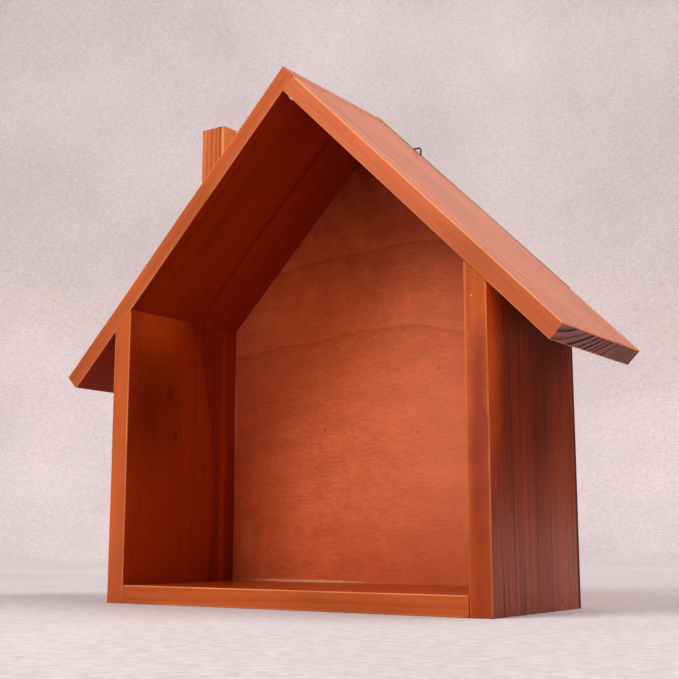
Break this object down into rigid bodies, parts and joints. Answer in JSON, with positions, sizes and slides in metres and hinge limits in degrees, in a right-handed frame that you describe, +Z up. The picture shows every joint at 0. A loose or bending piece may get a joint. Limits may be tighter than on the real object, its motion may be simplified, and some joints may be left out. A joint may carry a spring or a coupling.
{
  "type": "open-fronted wooden birdhouse",
  "caption": "House-shaped stained wooden box with an open front, a gable roof, a small chimney and ring hangers on its back.",
  "frame": {"origin": "on the underside, in the middle of the footprint of the box", "axes": "+X to the right seen from the open front, +Y to the back, +Z up"},
  "size_m": [0.473, 0.1503, 0.4312],
  "materials": {
    "stained_pine": "satin varnish over red-brown stain",
    "stained_plywood": "satin varnish over red-brown stain",
    "nail_steel": "bright steel, dulled",
    "hanger_steel": "dark plated steel"
  },
  "bodies": {
    "root": {"side_left": "stained_pine", "side_right": "stained_pine", "floor_board": "stained_pine", "roof_board_left": "stained_pine", "roof_board_right": "stained_pine", "back_panel": "stained_plywood", "chimney": "stained_pine", "floor_nails_left": "nail_steel", "floor_nails_right": "nail_steel", "roof_nails_left": "nail_steel", "roof_nails_right": "nail_steel", "ridge_nails": "nail_steel", "chimney_nails": "nail_steel", "back_panel_pins": "nail_steel", "hanger_strap_left": "hanger_steel", "hanger_strap_right": "hanger_steel", "hanger_screw_left": "hanger_steel", "hanger_screw_right": "hanger_steel"},
    "ring_left": {"hanger_ring_left": "hanger_steel"},
    "ring_right": {"hanger_ring_right": "hanger_steel"}
  },
  "joints": [
    {"name": "ring_left_swing", "type": "hinge", "parent": "root", "child": "ring_left", "pos_m": [-0.034, 0.07515, 0.38761], "axis": [-1, 0, 0], "range_deg": [0, 156]},
    {"name": "ring_right_swing", "type": "hinge", "parent": "root", "child": "ring_right", "pos_m": [0.034, 0.07515, 0.38761], "axis": [-1, 0, 0], "range_deg": [0, 156]}
  ]
}
